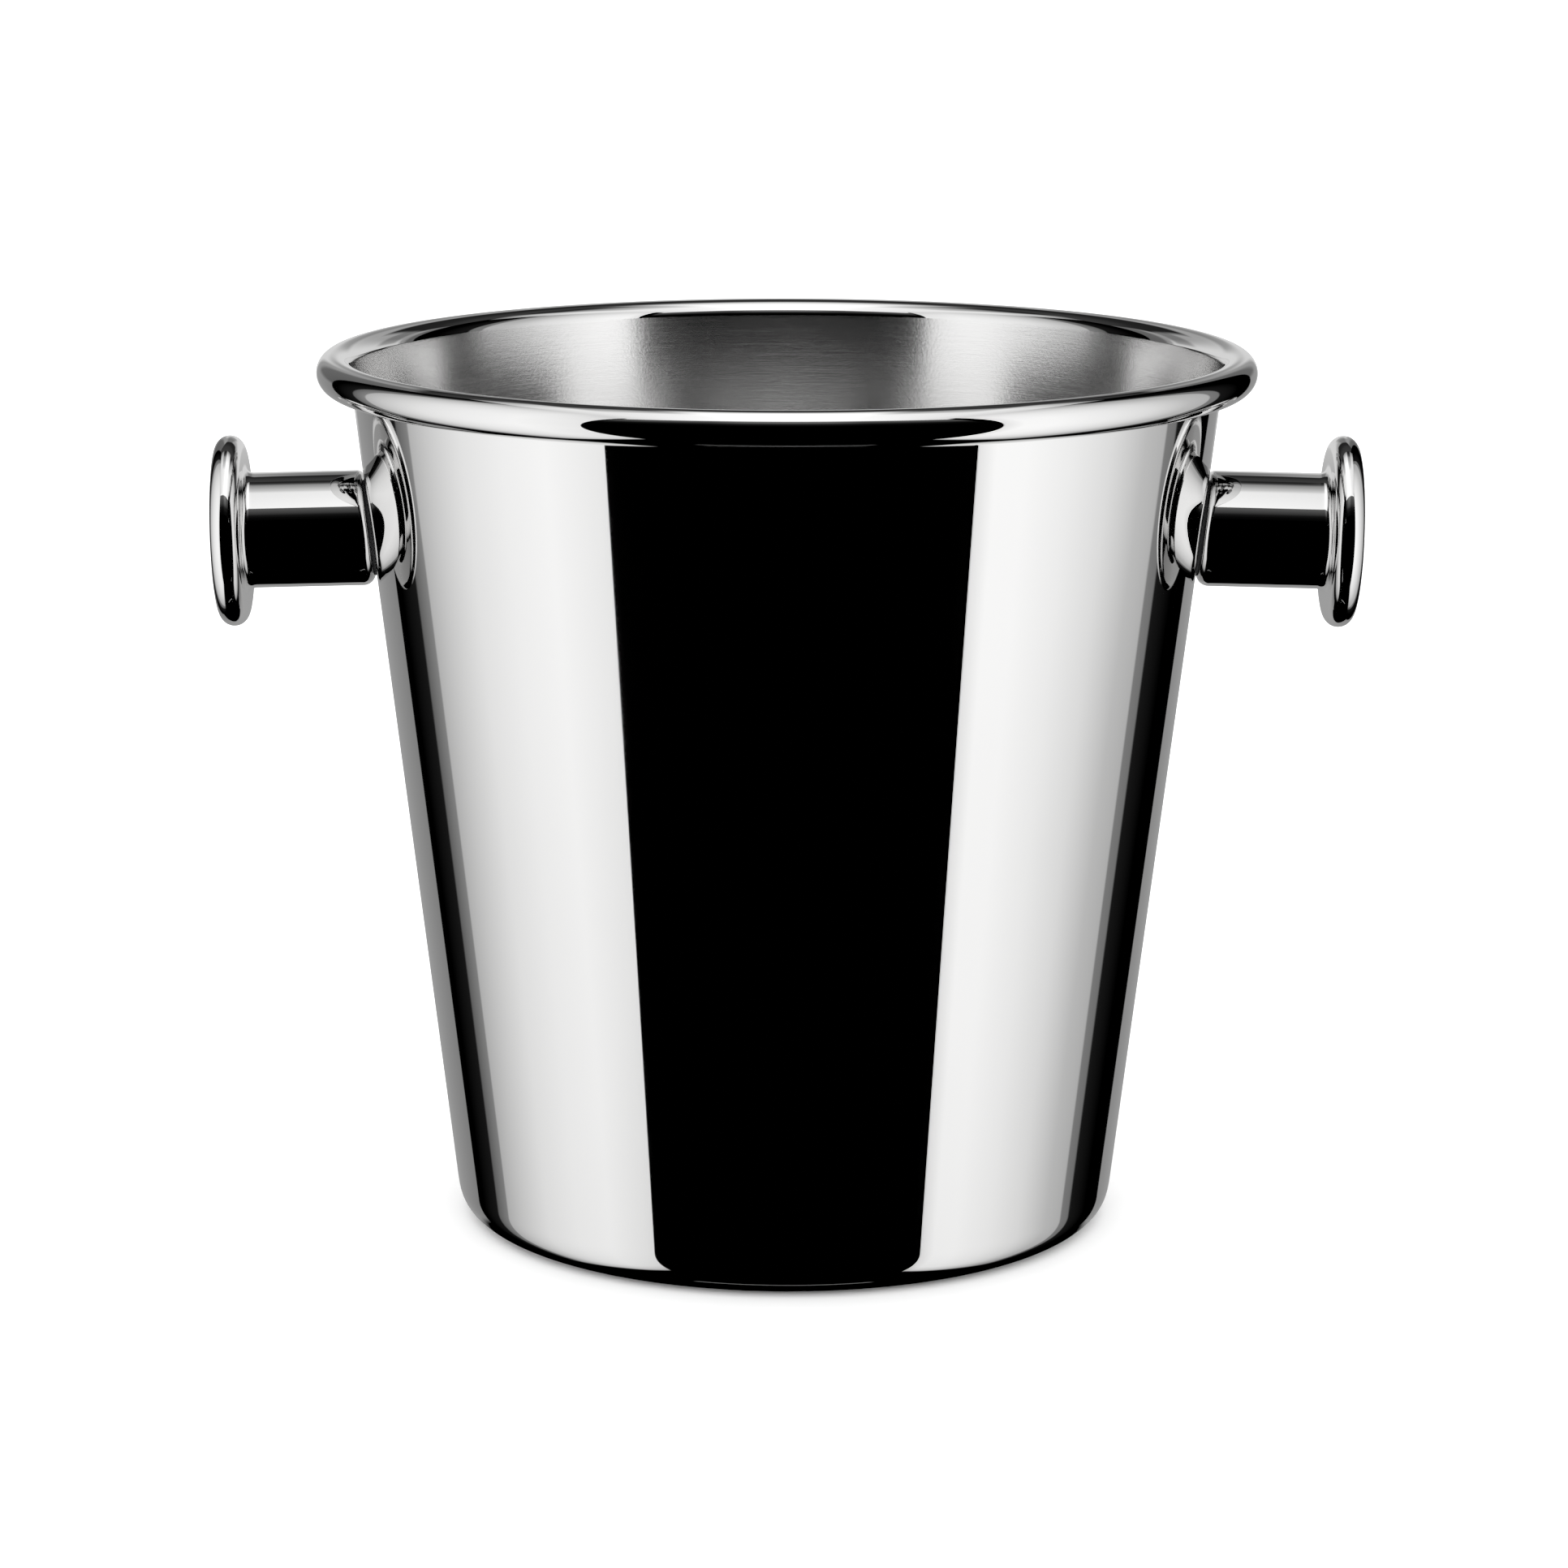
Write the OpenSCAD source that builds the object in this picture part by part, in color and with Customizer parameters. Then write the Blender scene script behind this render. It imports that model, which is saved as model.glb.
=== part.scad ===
// Champagne bucket: a tapered drawn-steel shell with a curled rim, and two fixed knob handles.
// Origin at the middle of the base, +Z up, handles along X. Millimetres.

/* [Bucket] */
// Diameter over the rim
rim_d = 210; // [195:1:225]
// Height from the surface it stands on to the top of the rim
bucket_h = 198; // [185:1:212]
// Diameter that the sloping wall would have at floor level, were its corner sharp
foot_d = 148.6; // [136:0.2:156]
// Thickness of the steel sheet
sheet_t = 0.8; // [0.7:0.1:1.2]
// Diameter of the rolled bead round the rim
bead_d = 8.2; // [7.2:0.2:10]
// Outside radius between the wall and the base
corner_r = 7.4; // [5:0.2:10]
// Height that the middle of the base is pressed up by
base_recess = 1.2; // [0.8:0.1:2]
// Width of the flat ring that the bucket stands on
foot_ring_w = 12; // [8:1:16]

/* [Handles] */
// Height of a handle's axis where it meets the wall
handle_z = 157.7; // [150:0.1:160]
// Angle by which a handle droops outwards
handle_droop = 1.4; // [0:0.1:2.5]
// Distance between the middles of the two end discs' outer faces
handle_span = 256; // [250:0.5:266]
// Outside diameter of the tubular stem
stem_d = 26; // [24:0.5:28]
// Thickness of the stem's wall
stem_wall = 3; // [2:0.25:3.5]
// Diameter of the end disc
disc_d = 43; // [38:0.5:46]
// Thickness of the end disc, whose edge is fully round
disc_t = 6.4; // [5:0.2:8]
// Radius of the hollow curve between the end disc and its hub
hub_fillet = 2; // [1:0.25:3]

/* [Fixings] */
// Nominal diameter of the screw that clamps a handle from inside the bucket
screw_d = 6; // [5:0.5:6.5]
// Length of the screw under its head
screw_l = 28; // [26:1:29]
// Diameter of the screw's button head
head_d = 11; // [9:0.5:13]
// Height of the screw's button head
head_h = 3.2; // [2.5:0.1:4]
// Width across the flats of the head's socket
socket_af = 4; // [3:0.5:4]
// Diameter of the saddle washer under the head
washer_d = 18; // [16:0.5:19]
// Thickness of the saddle washer on its axis
washer_t = 2.6; // [2.2:0.1:3.4]
// Thickness of the silicone seal under the saddle washer
seal_t = 1; // [0.8:0.1:1.2]
// Thickness of the gasket between the stem and the polished wall
gasket_t = 0.5; // [0.4:0.1:0.8]
// Depth of the hub's plug inside the stem
plug_l = 10; // [8:0.5:11]

/* [Hidden] */
$fn = 128;
SIDES = ["left", "right"];

POLISHED = [0.80, 0.80, 0.80];
SATIN = [0.62, 0.62, 0.62];
SILICONE = [0.16, 0.16, 0.17];

// Bead and wall, seen in section: the curl's outside is tangent to the wall's inside face.
bead_r = bead_d / 2;
bead_in_r = bead_r - sheet_t;
bead_x = rim_d / 2 - bead_r;
bead_z = bucket_h - bead_r;
foot_r = foot_d / 2;

// Slope of the wall. wall_a solves: the outer face passes bead_in_r from the bead's centre.
wall_reach = norm([bead_x - foot_r, bead_z]);
wall_a = atan2(bead_x - foot_r, bead_z) - asin(bead_in_r / wall_reach);
wall_slope = tan(wall_a);
wall_step = 1 / cos(wall_a);

// Radius of the sloping face that lies out from the wall's outer face by a distance square to it
function wall_r(z, out = 0) = foot_r + z * wall_slope + out * wall_step;

// Corner between wall and base
corner_x = foot_r - corner_r * (wall_step - wall_slope);
corner_z = corner_r;
recess_r = corner_x - foot_ring_w;
recess_slope_w = 3;

// Curl's open mouth, as angles about the bead's centre. The curl starts a little inside the wall.
curl_lap = 8;
curl_start = 180 - wall_a + curl_lap;
curl_gap = 45 - curl_lap;

// Handle frame: origin where the handle's axis meets the wall's outer face, +Z outwards along it
handle_x = wall_r(handle_z);
reach = (handle_span / 2 - handle_x) / cos(handle_droop);
disc_r = disc_d / 2;
disc_edge_r = disc_t / 2;
disc_inner = reach - disc_t;
stem_r = stem_d / 2;
bore_r = stem_r - stem_wall;
hub_l = hub_fillet + 0.5;
stem_end = disc_inner - hub_l;
hole_r = screw_d / 2 + 0.2;
head_seat = -(sheet_t + seal_t + washer_t) * wall_step;
plug_end = stem_end - plug_l;
screw_tip = head_seat + screw_l;
inner_seal_d = washer_d - 2;
gasket_inset = 2.2;
socket_depth = head_h * 0.55;
socket_corner_d = socket_af / cos(30);
CUT = 60;

// Everything inside the sloping face that lies out from the wall's outer face by the distance given
module inside_wall(out) {
    rotate_extrude()
        polygon([
            [0, handle_z - CUT],
            [wall_r(handle_z - CUT, out), handle_z - CUT],
            [wall_r(handle_z + CUT, out), handle_z + CUT],
            [0, handle_z + CUT]
        ]);
}

// Places its children on one handle's axis
module on_handle(side) {
    mirror([side == "left" ? 1 : 0, 0, 0])
        translate([handle_x, 0, handle_z])
            rotate([0, 90 + handle_droop, 0])
                children();
}

// Section of the bucket filled solid, shrunk by a distance, with its rounded corner
module filled_section(inset) {
    corner_in_r = corner_r - inset;
    top_in_r = bead_in_r + inset;
    cut_r = bead_r + 1;
    difference() {
        union() {
            polygon([
                [0, inset],
                [corner_x, inset],
                [corner_x + corner_in_r * cos(wall_a), corner_z - corner_in_r * sin(wall_a)],
                [bead_x - top_in_r * cos(wall_a), bead_z + top_in_r * sin(wall_a)],
                [bead_x - cut_r * cos(wall_a), bead_z + cut_r * sin(wall_a)],
                [0, bead_z + cut_r * sin(wall_a)]
            ]);
            translate([corner_x, corner_z])
                circle(r = corner_in_r);
        }
        polygon([
            [0, inset - 1],
            [recess_r, inset - 1],
            [recess_r, inset],
            [recess_r - recess_slope_w, inset + base_recess],
            [0, inset + base_recess]
        ]);
    }
}

// Section of the hollow bead: a round curl, open underneath beside the wall
module bead_section() {
    mouth = 3 * bead_r;
    translate([bead_x, bead_z])
        difference() {
            circle(r = bead_r);
            circle(r = bead_in_r);
            polygon([
                [0, 0],
                mouth * [cos(curl_start), sin(curl_start)],
                mouth * [cos(curl_start + curl_gap / 2), sin(curl_start + curl_gap / 2)],
                mouth * [cos(curl_start + curl_gap), sin(curl_start + curl_gap)]
            ]);
        }
}

// One drawn sheet: base, corner, tapered wall and curled rim, with a hole for each handle's screw
module bucket_shell() {
    color(POLISHED)
        difference() {
            rotate_extrude()
                union() {
                    difference() {
                        filled_section(0);
                        filled_section(sheet_t);
                    }
                    bead_section();
                }
            for (side = SIDES)
                on_handle(side)
                    translate([0, 0, -6])
                        cylinder(r = hole_r, h = 12);
        }
}

// Tube between the wall and the disc, its inner end cut to the cone of the wall
module stem(side) {
    color(POLISHED)
        difference() {
            on_handle(side)
                difference() {
                    translate([0, 0, -10])
                        cylinder(r = stem_r, h = stem_end + 10);
                    translate([0, 0, -11])
                        cylinder(r = bore_r, h = stem_end + 12);
                }
            inside_wall(gasket_t);
        }
}

// Round-edged disc with a filleted hub and a tapped plug that fits inside the stem
module end_disc(side) {
    color(POLISHED)
        on_handle(side)
            difference() {
                rotate_extrude()
                    union() {
                        translate([0, disc_inner])
                            square([disc_r - disc_edge_r, disc_t]);
                        translate([disc_r - disc_edge_r, disc_inner + disc_edge_r])
                            circle(r = disc_edge_r);
                        difference() {
                            translate([0, stem_end])
                                square([stem_r + hub_fillet, hub_l]);
                            translate([stem_r, stem_end - 1])
                                square([hub_fillet + 1, hub_l - hub_fillet + 1]);
                            translate([stem_r + hub_fillet, disc_inner - hub_fillet])
                                circle(r = hub_fillet);
                        }
                        translate([0, plug_end])
                            square([bore_r, plug_l]);
                    }
                translate([0, 0, plug_end - 1])
                    cylinder(r = screw_d / 2, h = screw_tip - plug_end + 3);
            }
}

// Thin ring that keeps the stem's end off the polished wall, set back from the stem's rounded edge
module wall_gasket(side) {
    color(SILICONE)
        intersection() {
            difference() {
                on_handle(side)
                    difference() {
                        translate([0, 0, -10])
                            cylinder(r = stem_r - gasket_inset, h = 20);
                        translate([0, 0, -11])
                            cylinder(r = hole_r, h = 22);
                    }
                inside_wall(0);
            }
            inside_wall(gasket_t);
        }
}

// Seal round the screw hole, against the inside of the wall
module inner_seal(side) {
    color(SILICONE)
        difference() {
            intersection() {
                on_handle(side)
                    translate([0, 0, -12])
                        cylinder(d = inner_seal_d, h = 18);
                inside_wall(-sheet_t);
            }
            inside_wall(-sheet_t - seal_t);
            on_handle(side)
                translate([0, 0, -13])
                    cylinder(r = hole_r, h = 20);
        }
}

// Washer shaped to the cone on its outer face and square to the screw on its inner face
module saddle_washer(side) {
    color(SATIN)
        intersection() {
            on_handle(side)
                difference() {
                    translate([0, 0, head_seat])
                        cylinder(d = washer_d, h = 12);
                    translate([0, 0, head_seat - 1])
                        cylinder(r = hole_r, h = 14);
                }
            inside_wall(-sheet_t - seal_t);
        }
}

// Button-head socket screw, driven from inside the bucket into the plug
module clamp_screw(side) {
    dome_r = (pow(head_d / 2, 2) + pow(head_h, 2)) / (2 * head_h);
    color(SATIN)
        on_handle(side)
            difference() {
                union() {
                    intersection() {
                        translate([0, 0, head_seat - head_h + dome_r])
                            sphere(r = dome_r);
                        translate([0, 0, head_seat - head_h])
                            cylinder(d = head_d, h = head_h);
                    }
                    translate([0, 0, head_seat])
                        cylinder(d = screw_d, h = screw_l);
                }
                translate([0, 0, head_seat - head_h - 1])
                    cylinder(d = socket_corner_d, h = socket_depth + 1, $fn = 6);
            }
}

bucket_shell();
for (side = SIDES) {
    stem(side);
    end_disc(side);
    wall_gasket(side);
    inner_seal(side);
    saddle_washer(side);
    clamp_screw(side);
}
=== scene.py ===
"""Champagne bucket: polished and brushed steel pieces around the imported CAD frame, in a pale studio."""
import math

import bmesh
import bpy
from mathutils import Matrix, Vector


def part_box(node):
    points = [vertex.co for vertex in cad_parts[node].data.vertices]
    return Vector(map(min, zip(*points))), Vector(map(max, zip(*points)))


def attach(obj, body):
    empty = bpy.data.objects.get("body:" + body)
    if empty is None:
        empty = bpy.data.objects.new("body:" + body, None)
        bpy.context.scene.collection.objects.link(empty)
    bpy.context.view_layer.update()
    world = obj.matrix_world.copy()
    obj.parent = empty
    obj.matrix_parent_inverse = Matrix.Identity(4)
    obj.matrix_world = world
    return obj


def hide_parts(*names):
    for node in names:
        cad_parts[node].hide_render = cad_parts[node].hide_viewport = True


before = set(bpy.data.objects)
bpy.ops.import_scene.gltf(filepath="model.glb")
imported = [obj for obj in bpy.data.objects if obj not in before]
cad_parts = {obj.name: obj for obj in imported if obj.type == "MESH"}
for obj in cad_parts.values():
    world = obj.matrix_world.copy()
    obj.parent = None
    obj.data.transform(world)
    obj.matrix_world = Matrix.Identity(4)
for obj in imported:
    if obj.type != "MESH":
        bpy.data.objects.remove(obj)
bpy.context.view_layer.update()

MM = 0.001
SIDES = ("left", "right")

# ------------------------- sizes: the rim comes from the frame, the rest are those of the CAD part

_, shell_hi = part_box("bucket_shell")
RIM_R = shell_hi[0]
HEIGHT = 198.0 * MM
SHEET = 0.8 * MM
BEAD_R = 4.1 * MM
BEAD_IN_R = BEAD_R - SHEET
FOOT_R = 74.3 * MM
CORNER_R = 7.4 * MM
RECESS = 1.2 * MM
FOOT_RING = 12.0 * MM
RECESS_SLOPE = 3.0 * MM
CURL_GAP = math.radians(45)

BEAD_X = RIM_R - BEAD_R
BEAD_Z = HEIGHT - BEAD_R
WALL_A = (math.atan2(BEAD_X - FOOT_R, BEAD_Z)
          - math.asin(BEAD_IN_R / math.hypot(BEAD_X - FOOT_R, BEAD_Z)))
WALL_SLOPE = math.tan(WALL_A)
WALL_STEP = 1 / math.cos(WALL_A)
CORNER_X = FOOT_R - CORNER_R * (WALL_STEP - WALL_SLOPE)

HANDLE_Z = 157.7 * MM
DROOP = math.radians(1.4)
HALF_SPAN = 128.0 * MM
STEM_R = 13.0 * MM
BORE_R = 10.0 * MM
DISC_R = 21.5 * MM
DISC_T = 6.4 * MM
FILLET = 2.0 * MM
GASKET = 0.5 * MM
SCREW_R = 3.0 * MM


def wall_r(z, out=0.0):
    """Radius of the cone that lies a distance out from the wall's outer face, at height z."""
    return FOOT_R + z * WALL_SLOPE + out * WALL_STEP


HANDLE_X = wall_r(HANDLE_Z)
REACH = (HALF_SPAN - HANDLE_X) / math.cos(DROOP)
DISC_INNER = REACH - DISC_T
HUB_L = FILLET + 0.5 * MM
STEM_END = DISC_INNER - HUB_L
PLUG_L = 10.0 * MM
PLUG_END = STEM_END - PLUG_L
WASHER_T = 2.6 * MM
SEAL_T = 1.0 * MM
HEAD_SEAT = -(SHEET + SEAL_T + WASHER_T) * WALL_STEP

# Facets round each mesh
BUCKET_FACETS = 384
STEM_FACETS = 384
DISC_FACETS = 192
WASHER_FACETS = 128
SCREW_FACETS = 96


# ---------------------------------------------------------------- shader helper

class Val:
    """A shader value that builds its nodes as ordinary sums are written."""

    def __init__(self, tree, socket):
        self.tree = tree
        self.socket = socket

    def math(self, operation, *others):
        """A Math node on this value and the others, each a Val or a number."""
        node = self.tree.nodes.new("ShaderNodeMath")
        node.operation = operation
        for slot, value in zip(node.inputs, (self,) + others):
            if isinstance(value, Val):
                self.tree.links.new(value.socket, slot)
            else:
                slot.default_value = value
        return Val(self.tree, node.outputs[0])

    def __add__(self, other):
        return self.math("ADD", other)

    def __sub__(self, other):
        return self.math("SUBTRACT", other)

    def __mul__(self, other):
        return self.math("MULTIPLY", other)

    def __truediv__(self, other):
        return self.math("DIVIDE", other)

    def above(self, edge, soft):
        """0 below the edge and 1 above it, with a soft step between."""
        node = self.tree.nodes.new("ShaderNodeMapRange")
        node.interpolation_type = "SMOOTHSTEP"
        self.tree.links.new(self.socket, node.inputs["Value"])
        node.inputs["From Min"].default_value = edge - soft / 2
        node.inputs["From Max"].default_value = edge + soft / 2
        return Val(self.tree, node.outputs["Result"])

    def below(self, edge, soft):
        """1 below the edge and 0 above it, with a soft step between."""
        return self.above(edge, soft).inverse()

    def between(self, low, high, soft):
        """1 from low to high and 0 outside, with a soft step at each."""
        return self.above(low, soft) * self.below(high, soft)

    def inverse(self):
        """1 less this value."""
        return self * -1.0 + 1.0

    def ramp(self, stops):
        """Brightness from a list of (place, brightness), places rising."""
        node = self.tree.nodes.new("ShaderNodeFloatCurve")
        low, high = stops[0][0], stops[-1][0]
        node.mapping.use_clip = False
        points = node.mapping.curves[0].points
        while len(points) < len(stops):
            points.new(0.5, 0.5)
        for point, (place, level) in zip(points, stops):
            point.location = ((place - low) / (high - low), level)
            point.handle_type = "VECTOR"
        node.mapping.update()
        scaled = (self - low) / (high - low)
        self.tree.links.new(scaled.socket, node.inputs["Value"])
        return Val(self.tree, node.outputs[0])


# ---------------------------------------------------------------- materials

def new_material(name):
    """A material with its node tree and shader."""
    mat = bpy.data.materials.new(name)
    mat.use_nodes = True
    return mat, mat.node_tree, mat.node_tree.nodes["Principled BSDF"]


def object_point(tree, scale=(1, 1, 1)):
    """The point on the object. A larger scale along Z draws a noise out into level lines."""
    coord = tree.nodes.new("ShaderNodeTexCoord")
    mapping = tree.nodes.new("ShaderNodeMapping")
    mapping.inputs["Scale"].default_value = scale
    tree.links.new(coord.outputs["Object"], mapping.inputs["Vector"])
    return mapping.outputs["Vector"]


def noise(tree, point, scale, detail=2.0, roughness=0.5):
    """Noise about 0.5, with a scale in cells per metre."""
    node = tree.nodes.new("ShaderNodeTexNoise")
    node.inputs["Scale"].default_value = scale
    node.inputs["Detail"].default_value = detail
    node.inputs["Roughness"].default_value = roughness
    tree.links.new(point, node.inputs["Vector"])
    return Val(tree, node.outputs["Fac"])


def spread(value, low, high):
    """Maps a noise, which lies mostly between 0.3 and 0.7, to low and high."""
    node = value.tree.nodes.new("ShaderNodeMapRange")
    value.tree.links.new(value.socket, node.inputs["Value"])
    node.inputs["From Min"].default_value = 0.3
    node.inputs["From Max"].default_value = 0.7
    node.inputs["To Min"].default_value = low
    node.inputs["To Max"].default_value = high
    return Val(value.tree, node.outputs["Result"])


def bump(tree, bsdf, height, distance):
    """Fine relief, where a height of 1 stands for the distance in metres."""
    node = tree.nodes.new("ShaderNodeBump")
    node.inputs["Distance"].default_value = distance
    node.inputs["Strength"].default_value = 1.0
    tree.links.new(height.socket, node.inputs["Height"])
    tree.links.new(node.outputs["Normal"], bsdf.inputs["Normal"])


def tint(tree, bsdf, fac, low, high):
    """Base colour between two colours, by a value from 0 to 1."""
    node = tree.nodes.new("ShaderNodeMix")
    node.data_type = "RGBA"
    node.inputs["A"].default_value = (*low, 1)
    node.inputs["B"].default_value = (*high, 1)
    tree.links.new(fac.socket, node.inputs["Factor"])
    tree.links.new(node.outputs["Result"], bsdf.inputs["Base Color"])


def roughen(tree, bsdf, value, low, high):
    """Roughness that varies with a noise."""
    tree.links.new(spread(value, low, high).socket, bsdf.inputs["Roughness"])


def polished_steel():
    """Mirror polish: faint cloudiness, fine buffing hairlines and the slow waves of drawn sheet."""
    mat, tree, bsdf = new_material("polished_steel")
    point = object_point(tree)
    clouds = noise(tree, point, 14.0, 4.0)
    hairs = noise(tree, object_point(tree, (1, 1, 9)), 260.0, 3.0)
    waves = noise(tree, point, 11.0, 0.0)
    tint(tree, bsdf, clouds, (0.802, 0.800, 0.797), (0.837, 0.835, 0.832))
    roughen(tree, bsdf, clouds * 0.6 + hairs * 0.4, 0.010, 0.045)
    bsdf.inputs["Metallic"].default_value = 1.0
    bump(tree, bsdf, waves + hairs * 0.004, 20e-6)
    return mat


def satin_steel():
    """Brushed round the bucket: streaks, fine lines and grain, with a soft stretched shine."""
    mat, tree, bsdf = new_material("satin_steel")
    streaks = noise(tree, object_point(tree, (1, 1, 90)), 28.0, 5.0, 0.65)
    fine = noise(tree, object_point(tree, (1, 1, 45)), 160.0, 3.0, 0.6)
    grain = noise(tree, object_point(tree), 1500.0, 1.0)
    clouds = noise(tree, object_point(tree), 22.0, 3.0)
    mixed = streaks * 0.5 + fine * 0.4 + clouds * 0.1
    tint(tree, bsdf, mixed, (0.76, 0.757, 0.754), (0.96, 0.957, 0.954))
    roughen(tree, bsdf, mixed, 0.14, 0.19)
    bsdf.inputs["Metallic"].default_value = 1.0
    bsdf.inputs["Anisotropic"].default_value = 0.3
    bsdf.inputs["Anisotropic Rotation"].default_value = 0.25
    tangent = tree.nodes.new("ShaderNodeTangent")
    tangent.direction_type = "RADIAL"
    tangent.axis = "Z"
    tree.links.new(tangent.outputs["Tangent"], bsdf.inputs["Tangent"])
    bump(tree, bsdf, streaks * 0.3 + fine * 0.4 + grain * 0.5, 18e-6)
    return mat


def machined_steel():
    """Satin fixings: turned steel with a fine grain."""
    mat, tree, bsdf = new_material("machined_steel")
    grain = noise(tree, object_point(tree), 900.0, 3.0, 0.6)
    clouds = noise(tree, object_point(tree), 60.0, 2.0)
    tint(tree, bsdf, clouds, (0.55, 0.545, 0.54), (0.66, 0.655, 0.65))
    roughen(tree, bsdf, grain * 0.5 + clouds * 0.5, 0.20, 0.36)
    bsdf.inputs["Metallic"].default_value = 1.0
    bump(tree, bsdf, grain, 6e-6)
    return mat


def silicone():
    """Matt dark grey rubber with a faint bloom."""
    mat, tree, bsdf = new_material("silicone")
    grain = noise(tree, object_point(tree), 1400.0, 3.0, 0.7)
    clouds = noise(tree, object_point(tree), 120.0, 3.0)
    tint(tree, bsdf, clouds, (0.018, 0.018, 0.020), (0.034, 0.034, 0.036))
    roughen(tree, bsdf, grain, 0.55, 0.75)
    bump(tree, bsdf, grain, 15e-6)
    return mat


POLISHED = polished_steel()
SATIN = satin_steel()
MACHINED = machined_steel()
SILICONE = silicone()


# ---------------------------------------------------------------- mesh builders

def arc(cx, cz, radius, start, end, steps):
    """Points round an arc, angles in radians from the +X direction of the section."""
    return [(cx + radius * math.cos(start + (end - start) * i / steps),
             cz + radius * math.sin(start + (end - start) * i / steps)) for i in range(steps + 1)]


def line(a, b, steps, ease=0.5 * MM, most=0.2):
    """Points from a to b without b, with one extra point close to each end to hold the shading."""
    length = math.hypot(b[0] - a[0], b[1] - a[1])
    near = min(ease / length, most)
    places = [0.0, near] + [near + (1 - 2 * near) * i / steps for i in range(1, steps)] + [1 - near]
    return [(a[0] + (b[0] - a[0]) * t, a[1] + (b[1] - a[1]) * t) for t in places]


def dedupe(points, nearest=1e-6):
    """Drops each point that lies on the one before it."""
    kept = []
    for point in points:
        if not kept or math.hypot(point[0] - kept[-1][0], point[1] - kept[-1][1]) > nearest:
            kept.append(point)
    return kept


def turned(bm, place, radius, angle, z):
    """A vertex at a radius and an angle about the Z axis of the place."""
    return bm.verts.new(place @ Vector((radius * math.cos(angle), radius * math.sin(angle), z)))


def angles(facets):
    """Angles of the vertices round a turned mesh."""
    return [2 * math.pi * k / facets for k in range(facets)]


def lathe(bm, section, facets, material_of=None, place=Matrix()):
    """Turns a section about Z. It starts and ends on the axis, where a point becomes a pole."""
    on_axis = 1e-7
    rings = []
    for radius, z in section:
        if radius < on_axis:
            rings.append([bm.verts.new(place @ Vector((0, 0, z)))])
        else:
            rings.append([turned(bm, place, radius, angle, z) for angle in angles(facets)])
    for i, (low, high) in enumerate(zip(rings, rings[1:])):
        for k in range(facets):
            n = (k + 1) % facets
            if len(low) == 1:
                corners = (low[0], high[n], high[k])
            elif len(high) == 1:
                corners = (low[k], low[n], high[0])
            else:
                corners = (low[k], low[n], high[n], high[k])
            face = bm.faces.new(corners)
            face.smooth = True
            if material_of:
                face.material_index = material_of(i)


def join_columns(bm, columns, closed):
    """Smooth faces between neighbouring columns all the way round. A closed column is a full loop."""
    count = len(columns[0])
    for a, b in zip(columns, columns[1:] + columns[:1]):
        for i in range(count if closed else count - 1):
            j = (i + 1) % count
            bm.faces.new((a[i], a[j], b[j], b[i])).smooth = True


def finish_piece(name, bm, materials, node, sharp_deg):
    """Makes the piece that rides the body in place of a CAD node. Edges over sharp_deg stay sharp."""
    bmesh.ops.recalc_face_normals(bm, faces=bm.faces)
    for edge in bm.edges:
        if len(edge.link_faces) == 2 and edge.calc_face_angle(0) > math.radians(sharp_deg):
            edge.smooth = False
    mesh = bpy.data.meshes.new(name)
    bm.to_mesh(mesh)
    bm.free()
    for mat in materials:
        mesh.materials.append(mat)
    piece = bpy.data.objects.new(name, mesh)
    bpy.context.scene.collection.objects.link(piece)
    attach(piece, "root")
    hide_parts(node)


def handle_frame(side):
    """Matrix of one handle: origin on the wall's outer face, +Z outwards along the stem."""
    turn = Matrix.Rotation(math.pi / 2 + DROOP, 4, "Y")
    place = Matrix.Translation((HANDLE_X, 0, HANDLE_Z)) @ turn
    return Matrix.Diagonal((-1, 1, 1, 1)) @ place if side == "left" else place


# ---------------------------------------------------------------- bucket

def bucket_section():
    """The sheet's outline and how many of its points are polished.

    In order: underneath, outside, inside of the curl, outside of the curl, and the satin inside.
    """
    toward = (-math.cos(WALL_A), math.sin(WALL_A))
    outer_top = (BEAD_X + BEAD_IN_R * toward[0], BEAD_Z + BEAD_IN_R * toward[1])
    inner_top = (BEAD_X + BEAD_R * toward[0], BEAD_Z + BEAD_R * toward[1])
    recess_r = CORNER_X - FOOT_RING
    half_r, slope_r = recess_r * 0.5, recess_r - RECESS_SLOPE
    start = math.pi - WALL_A
    stop = start - (2 * math.pi - CURL_GAP)
    base_steps, foot_steps, corner_steps, wall_steps = 3, 4, 14, 20
    curl_in_steps, curl_out_steps = 28, 72

    def base(lift):
        high = RECESS + lift
        return [(0, high), (half_r, high)] + dedupe(
            line((half_r, high), (slope_r, high), base_steps) + soft_step(slope_r, recess_r, high, lift))

    buffed = buffed_corner()
    outside = base(0) + line((recess_r, 0), buffed[0], foot_steps) + buffed
    outside += line(outside[-1], outer_top, wall_steps)[1:]
    curl_inside = arc(BEAD_X, BEAD_Z, BEAD_IN_R, start, stop, curl_in_steps)
    curl_outside = arc(BEAD_X, BEAD_Z, BEAD_R, stop, start, curl_out_steps)
    inside = base(SHEET) + line((recess_r, SHEET), (CORNER_X, SHEET), foot_steps)
    inside += arc(CORNER_X, CORNER_R, CORNER_R - SHEET, -math.pi / 2, -WALL_A, corner_steps)
    inside += line(inside[-1], inner_top, wall_steps)[1:]
    inside.reverse()
    polished = len(dedupe(outside + curl_inside + curl_outside))
    return dedupe(outside + curl_inside + curl_outside + inside), polished


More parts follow.
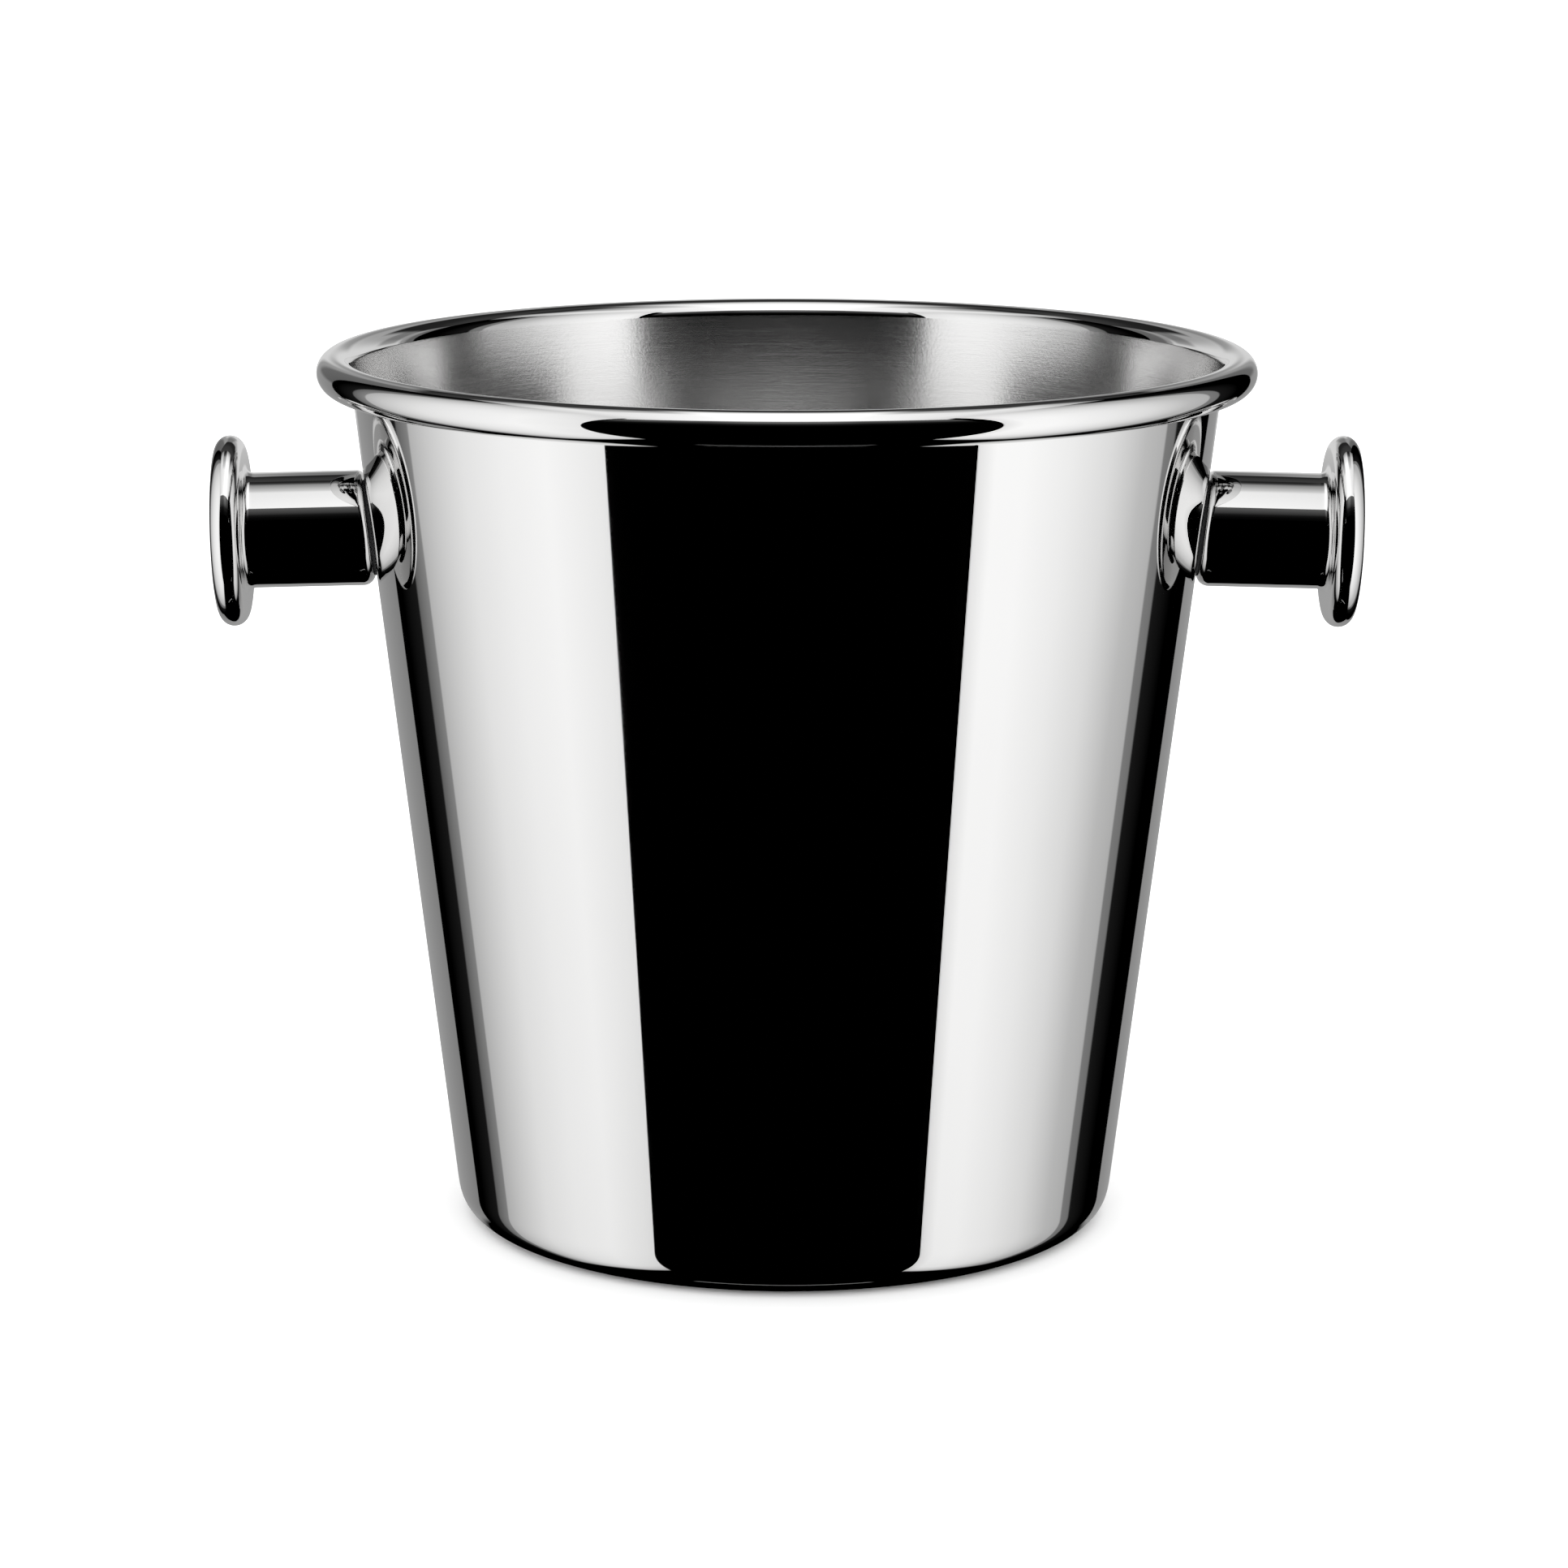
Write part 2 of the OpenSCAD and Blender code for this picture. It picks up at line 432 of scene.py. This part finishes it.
def buffed_corner():
    """Outside of the corner from the base up: an arc, then a blend that dies out into the wall."""
    blend_low, blend_high, steps, arc_steps = 4.9 * MM, 9.0 * MM, 18, 24
    join_a, fade = math.radians(17), 2.2
    fall = (blend_high - blend_low) / steps
    blend = [(wall_r(blend_high), blend_high)]
    for i in range(steps):
        lean = WALL_A + (join_a - WALL_A) * ((i + 0.5) / steps) ** fade
        blend.append((blend[-1][0] - fall * math.tan(lean), blend[-1][1] - fall))
    radius = blend_low / (1 - math.sin(join_a))
    centre_x = blend[-1][0] - radius * math.cos(join_a)
    return arc(centre_x, radius, radius, -math.pi / 2, -join_a, arc_steps) + blend[-2::-1]


def soft_step(r_in, r_out, z_in, z_out, steps=10):
    """A smooth pressed step between two heights."""
    points = []
    for i in range(steps + 1):
        t = i / steps
        points.append((r_in + (r_out - r_in) * t, z_in + (z_out - z_in) * t * t * (3 - 2 * t)))
    return points


def bucket():
    """The shell in one mesh: polished outside and on the bead, satin inside."""
    section, polished = bucket_section()
    bm = bmesh.new()
    lathe(bm, section, BUCKET_FACETS, material_of=lambda i: 0 if i < polished - 1 else 1)
    finish_piece("bucket_body", bm, (POLISHED, SATIN), "bucket_shell", 40)


# ---------------------------------------------------------------- handles

def mitre(angle, radius, out):
    """How far along the handle's axis a line at this angle and radius meets the cone of wall_r."""
    place = handle_frame("right")
    x, y = radius * math.cos(angle), radius * math.sin(angle)
    low, high, halvings = -12 * MM, 12 * MM, 40
    for _ in range(halvings):
        mid = (low + high) / 2
        point = place @ Vector((x, y, mid))
        if math.hypot(point.x, point.y) < wall_r(point.z, out):
            low = mid
        else:
            high = mid
    return (low + high) / 2


def edge_radius(angle):
    """Hand-polished edge at the wall: broad underneath, tight on top. +X of the handle frame is down."""
    on_top, more_under = 1.3, 1.7
    under = (1 + math.cos(angle)) / 2
    return (on_top + more_under * under) * MM


def stem(side):
    """Tube with its wall end cut to the cone, the edge rounded over by polishing."""
    place = handle_frame(side)
    round_steps, length_steps = 24, 8
    face_r = BORE_R + 0.2 * MM
    hold = 0.6 * MM
    bm = bmesh.new()
    columns = []
    for angle in angles(STEM_FACETS):
        r_edge = edge_radius(angle)
        path = [(BORE_R, mitre(angle, BORE_R, GASKET)), (face_r, mitre(angle, face_r, GASKET))]
        for i in range(round_steps + 1):
            phi = math.pi / 2 * (1 - i / round_steps)
            radius = STEM_R - r_edge * (1 - math.cos(phi))
            path.append((radius, mitre(angle, radius, GASKET) + r_edge * (1 - math.sin(phi))))
        near = path[-1][1] + hold
        path += [(STEM_R, near + (STEM_END - near) * i / length_steps) for i in range(length_steps + 1)]
        path.append((BORE_R, STEM_END))
        columns.append([turned(bm, place, radius, angle, z) for radius, z in path])
    join_columns(bm, columns, closed=True)
    finish_piece(f"{side}_stem_tube", bm, (POLISHED,), f"{side}_stem", 30)


def end_disc(side):
    """Round-edged disc, very slightly crowned, with a filleted hub and the plug inside the stem."""
    edge_r = DISC_T / 2
    crown, crown_steps, fillet_steps, back_steps, edge_steps = 0.3 * MM, 12, 14, 4, 40
    flat_r = DISC_R - edge_r
    outer = DISC_INNER + DISC_T
    bore_end, drill_tip = PLUG_END + 17 * MM, PLUG_END + 18 * MM
    section = [(0, drill_tip), (SCREW_R, bore_end), (SCREW_R, PLUG_END)]
    section += [(BORE_R, PLUG_END), (BORE_R, STEM_END), (STEM_R, STEM_END)]
    section += arc(STEM_R + FILLET, DISC_INNER - FILLET, FILLET, math.pi, math.pi / 2, fillet_steps)
    section += line((STEM_R + FILLET, DISC_INNER), (flat_r, DISC_INNER), back_steps)[1:]
    section += arc(flat_r, DISC_INNER + edge_r, edge_r, -math.pi / 2, math.pi / 2, edge_steps)
    for i in range(1, crown_steps + 1):
        radius = flat_r * (1 - i / crown_steps)
        section.append((radius, outer + crown * (1 - (radius / flat_r) ** 2) ** 2))
    bm = bmesh.new()
    lathe(bm, dedupe(section), DISC_FACETS, place=handle_frame(side))
    finish_piece(f"{side}_knob_disc", bm, (POLISHED,), f"{side}_end_disc", 35)


def saddle_washer(side):
    """Washer with a broken edge, its outer face cut to the cone of the seal behind it."""
    place = handle_frame(side)
    out = -(SHEET + SEAL_T)
    hole_r, rim_r, chamfer, round_steps = 3.2 * MM, 9.0 * MM, 0.4 * MM, 5
    bm = bmesh.new()
    columns = []
    for angle in angles(WASHER_FACETS):
        path = [(hole_r, HEAD_SEAT + chamfer), (hole_r + chamfer, HEAD_SEAT),
                (rim_r - chamfer, HEAD_SEAT)]
        path += arc(rim_r - chamfer, HEAD_SEAT + chamfer, chamfer, -math.pi / 2, 0, round_steps)[1:]
        path += [(rim_r, mitre(angle, rim_r, out)), (hole_r, mitre(angle, hole_r, out))]
        columns.append([turned(bm, place, radius, angle, z) for radius, z in path])
    join_columns(bm, columns, closed=True)
    finish_piece(f"{side}_saddle", bm, (MACHINED,), f"{side}_saddle_washer", 30)


def clamp_screw(side):
    """Button-head screw with a hexagon socket and a rolled thread."""
    place = handle_frame(side)
    head_r, head_h, lip, dome_steps = 5.5 * MM, 3.2 * MM, 0.35 * MM, 10
    socket_r, socket_depth = 2.0 * MM / math.cos(math.pi / 6), 1.76 * MM
    drill_depth, broken_edge = 0.25 * MM, 0.15 * MM
    screw_l, pitch, depth, tip_r = 28 * MM, 1.0 * MM, 0.3 * MM, 2.2 * MM
    plain_neck, plain_tip, steps_per_turn = 0.8 * MM, 1.2 * MM, 8
    dome_r = (head_r ** 2 + head_h ** 2) / (2 * head_h)
    top = HEAD_SEAT - head_h
    floor_z = top + socket_depth
    bm = bmesh.new()

    def hex_r(angle):
        """Radius of the hexagon socket's side at an angle."""
        sector = math.pi / 3
        local = (angle % sector) - sector / 2
        return socket_r * math.cos(sector / 2) / math.cos(local)

    def dome_z(radius):
        return top + dome_r - math.sqrt(dome_r ** 2 - radius ** 2)

    columns = []
    for angle in angles(SCREW_FACETS):
        mouth = hex_r(angle)
        start = mouth + broken_edge
        path = [(mouth * 0.5, floor_z + drill_depth), (mouth, floor_z),
                (mouth, dome_z(mouth) + broken_edge), (start, dome_z(start))]
        for i in range(1, dome_steps + 1):
            radius = start + (head_r - lip - start) * i / dome_steps
            path.append((radius, dome_z(radius)))
        path += [(head_r, HEAD_SEAT - 0.5 * lip), (head_r - 0.2 * MM, HEAD_SEAT), (SCREW_R, HEAD_SEAT)]
        columns.append([turned(bm, place, radius, angle, z) for radius, z in path])
    join_columns(bm, columns, closed=False)
    bm.faces.new([column[0] for column in columns])

    shank_end = HEAD_SEAT + screw_l
    thread_start = HEAD_SEAT + plain_neck
    rows = [[column[-1] for column in columns]]
    for i in range(int((shank_end - plain_tip - thread_start) / pitch * steps_per_turn)):
        row_z = thread_start + i * pitch / steps_per_turn
        ring = []
        for k, angle in enumerate(angles(SCREW_FACETS)):
            phase = (i / steps_per_turn - k / SCREW_FACETS) % 1.0
            ring.append(turned(bm, place, SCREW_R - depth * abs(2 * phase - 1), angle, row_z))
        rows.append(ring)
    rows.append([turned(bm, place, tip_r, angle, shank_end) for angle in angles(SCREW_FACETS)])
    for low, high in zip(rows, rows[1:]):
        for k in range(SCREW_FACETS):
            n = (k + 1) % SCREW_FACETS
            bm.faces.new((low[k], low[n], high[n], high[k])).smooth = True
    bm.faces.new(rows[-1])
    finish_piece(f"{side}_button_screw", bm, (MACHINED,), f"{side}_clamp_screw", 30)


def seals():
    """The silicone rings keep their CAD shape and get their material."""
    for side in SIDES:
        for part in ("wall_gasket", "inner_seal"):
            ring = bpy.data.objects[f"{side}_{part}"]
            for slot in ring.material_slots:
                slot.material = SILICONE


# ---------------------------------------------------------------- studio

def camera():
    """Long lens a little above the rim, square on to the handles."""
    distance, height = 1126.8 * MM, 337.5 * MM
    place_a, turn, pitch, roll = math.radians(-0.39), math.radians(0.93), 0.2089, math.radians(-0.1)
    focal_mm, sensor_mm, shift = 116.08, 36.0, 0.0722
    data = bpy.data.cameras.new("camera")
    data.lens = focal_mm
    data.sensor_width = sensor_mm
    data.shift_x = shift
    obj = bpy.data.objects.new("camera", data)
    bpy.context.scene.collection.objects.link(obj)
    place = Matrix.Translation((distance * math.sin(place_a), -distance * math.cos(place_a), height))
    aim = Matrix.Rotation(turn, 4, "Z") @ Matrix.Rotation(math.pi / 2 - pitch, 4, "X")
    obj.matrix_world = place @ aim @ Matrix.Rotation(roll, 4, "Z")
    bpy.context.scene.camera = obj


def card(name, corners, level):
    """A glowing card of the light tent that only reflections see. level(x, y, z) gives its brightness."""
    mesh = bpy.data.meshes.new(name)
    mesh.from_pydata(corners, [], [(0, 1, 2, 3)])
    obj = bpy.data.objects.new(name, mesh)
    bpy.context.scene.collection.objects.link(obj)
    mat, tree, _ = new_material(name)
    tree.nodes.clear()
    coord = tree.nodes.new("ShaderNodeTexCoord")
    split = tree.nodes.new("ShaderNodeSeparateXYZ")
    tree.links.new(coord.outputs["Object"], split.inputs[0])
    emit = tree.nodes.new("ShaderNodeEmission")
    emit.inputs["Color"].default_value = (1, 1, 1, 1)
    tree.links.new(level(*(Val(tree, output) for output in split.outputs)).socket, emit.inputs["Strength"])
    out = tree.nodes.new("ShaderNodeOutputMaterial")
    tree.links.new(emit.outputs[0], out.inputs["Surface"])
    mesh.materials.append(mat)
    obj.visible_camera = False
    obj.visible_diffuse = False
    obj.visible_shadow = False


def light_tent():
    """The tent round the bucket as its polish sees it: sides, top, a dim front flap and a grey back.

    Places are in metres. Each ramp lists a card's brightness from one of its edges to the other.
    """
    side_x, front_y, back_y, top_back = 0.300, -0.328, 0.250, 0.450
    left_front, right_front, side_back = -0.313, -0.300, 0.200
    floor_z, top_z, flap_z = -0.390, 0.600, 0.330
    back_x, back_floor, stand_y = 0.320, -0.300, 0.200

    def side_height(z):
        """Both sides are brightest half way up and fade towards floor and top."""
        return z.ramp([(floor_z, 0.0), (-0.36, 0.55), (-0.28, 0.80), (-0.10, 0.93), (0.10, 1.0),
                       (0.30, 0.98), (0.45, 0.90), (top_z, 0.74)])

    def left_level(x, y, z):
        """Bright in front, fading backwards, then a grey strip and a dark back edge."""
        return side_height(z) * y.ramp([
            (left_front, 0.99), (-0.285, 1.02), (-0.184, 1.12), (-0.107, 1.05), (-0.038, 0.93),
            (0.032, 0.69), (0.076, 0.53), (0.080, 0.26), (0.116, 0.14), (0.122, 0.01), (side_back, 0.0)])

    def right_level(x, y, z):
        """Like the left side, but it starts a little further back."""
        return side_height(z) * y.ramp([
            (-0.295, 0.0), (-0.291, 0.95), (-0.250, 1.16), (-0.191, 1.15), (-0.112, 1.03), (-0.043, 0.87),
            (0.027, 0.60), (0.075, 0.52), (0.080, 0.23), (0.106, 0.20), (0.112, 0.01), (side_back, 0.0)])

    def top_level(x, y, z):
        """Brightest in front and over the middle. A strip on each side of that fades further forward."""
        off_axis = x.math("ABSOLUTE")
        middle = y.ramp([(front_y, 1.0), (0.05, 1.0), (0.105, 0.80), (0.14, 0.72), (0.17, 0.62),
                         (0.205, 0.42), (0.245, 0.20), (0.285, 0.10), (0.33, 0.04), (top_back, 0.03)])
        edge = y.ramp([(front_y, 1.0), (-0.03, 0.88), (0.012, 0.62), (0.044, 0.52), (0.08, 0.40),
                       (0.135, 0.27), (0.165, 0.08), (0.20, 0.02), (top_back, 0.01)])
        edgewards = off_axis.between(0.085, 0.20, 0.04)
        across = off_axis.ramp([(0.0, 1.35), (0.08, 1.30), (0.18, 1.10), (0.22, 0.98), (side_x, 0.80)])
        return (middle * edgewards.inverse() + edge * edgewards) * across

    def flap_level(x, y, z):
        """Nearly dark, a little lighter upwards, with a bright hem at the top."""
        across = x.math("ABSOLUTE").ramp([(0.0, 1.0), (0.06, 0.9), (0.11, 0.45), (side_x, 0.50)])
        dim = z.ramp([(flap_z, 0.003), (0.360, 0.005), (0.389, 0.015), (0.402, 0.02), (0.430, 0.08),
                      (0.445, 0.11), (0.470, 0.14), (0.524, 0.22), (0.563, 0.25), (top_z, 0.25)])
        hem = z.above(0.568, 0.008)
        return dim * across + hem

    def back_level(x, y, z):
        """A grey panel with a lighter core, darker patches in its upper part and a faint glow above."""
        off_axis = x.math("ABSOLUTE")
        soft, faint = 0.03, 0.01
        width = x.between(-0.305, 0.245, 0.004)
        plain = off_axis.ramp([(0.0, 0.40), (0.16, 0.33), (0.30, 0.25)])
        core = off_axis.below(0.165, 0.02) * z.above(0.14, 0.04) * z.below(0.262, 0.07) * 0.34
        high = off_axis.ramp([(0.0, 0.310), (0.03, 0.325), (0.11, 0.355), (0.15, 0.36), (0.20, 0.42),
                              (0.31, 0.50)])
        low = off_axis.ramp([(0.0, -0.11), (0.10, -0.11), (0.18, -0.15), (0.31, -0.18)])
        upper = z.ramp([(0.2, 0.0), (0.40, 0.01), (0.46, 0.03), (0.60, 0.045)])
        panel = (z - high).below(0.0, soft) * (z - low).above(0.0, soft)
        inner_shade = off_axis.between(0.065, 0.145, soft) * z.above(0.235, soft) * 0.45
        outer_shade = off_axis.above(0.195, soft) * z.above(0.20, soft) * 0.55
        shade = (inner_shade + outer_shade).inverse()
        return width * ((plain + core) * shade * panel + upper + faint)

    def stand_level(x, y, z):
        """A thin bright arc on the dark floor: the edge of the stand."""
        centre_y, radius, edge, half_width = 0.235, 0.301, 0.007, 0.122
        from_centre = (x * x + (y - centre_y) * (y - centre_y)).math("SQRT")
        ring = from_centre.between(radius - edge / 2, radius + edge / 2, edge / 3)
        return ring * x.between(-half_width, half_width, 0.01) * 0.55

    card("tent_left", [(-side_x, left_front, floor_z), (-side_x, side_back, floor_z),
                       (-side_x, side_back, top_z), (-side_x, left_front, top_z)], left_level)
    card("tent_right", [(side_x, right_front, floor_z), (side_x, side_back, floor_z),
                        (side_x, side_back, top_z), (side_x, right_front, top_z)], right_level)
    card("tent_top", [(-side_x, front_y, top_z), (side_x, front_y, top_z),
                      (side_x, top_back, top_z), (-side_x, top_back, top_z)], top_level)
    card("tent_flap", [(-side_x, front_y, flap_z), (side_x, front_y, flap_z),
                       (side_x, front_y, top_z), (-side_x, front_y, top_z)], flap_level)
    card("tent_back", [(-back_x, back_y, back_floor), (back_x, back_y, back_floor),
                       (back_x, back_y, top_z), (-back_x, back_y, top_z)], back_level)
    card("tent_stand", [(-side_x, -stand_y, floor_z), (side_x, -stand_y, floor_z),
                        (side_x, stand_y, floor_z), (-side_x, stand_y, floor_z)], stand_level)


def floor_and_backdrop():
    """Pale floor and a white surround: both are lit and seen, but no reflection sees them."""
    floor_r, floor_facets, clear, surround_level = 3.0, 96, 0.05 * MM, 2.0
    bm = bmesh.new()
    bmesh.ops.create_circle(bm, cap_ends=True, segments=floor_facets, radius=floor_r)
    mesh = bpy.data.meshes.new("floor")
    bm.to_mesh(mesh)
    bm.free()
    floor = bpy.data.objects.new("floor", mesh)
    floor.location.z = -clear
    bpy.context.scene.collection.objects.link(floor)
    mat, tree, bsdf = new_material("floor_white")
    grain = noise(tree, object_point(tree), 40.0, 2.0)
    tint(tree, bsdf, grain, (0.84, 0.84, 0.84), (0.86, 0.86, 0.86))
    bsdf.inputs["Roughness"].default_value = 1.0
    bsdf.inputs["Specular IOR Level"].default_value = 0.0
    mesh.materials.append(mat)
    floor.visible_glossy = False

    world = bpy.data.worlds.new("surround")
    bpy.context.scene.world = world
    world.use_nodes = True
    background = world.node_tree.nodes["Background"]
    background.inputs["Color"].default_value = (1, 1, 1, 1)
    background.inputs["Strength"].default_value = surround_level
    world.cycles_visibility.glossy = False


camera()
bucket()
for side in SIDES:
    stem(side)
    end_disc(side)
    saddle_washer(side)
    clamp_screw(side)
seals()
light_tent()
floor_and_backdrop()
bpy.context.scene.view_settings.view_transform = "Standard"
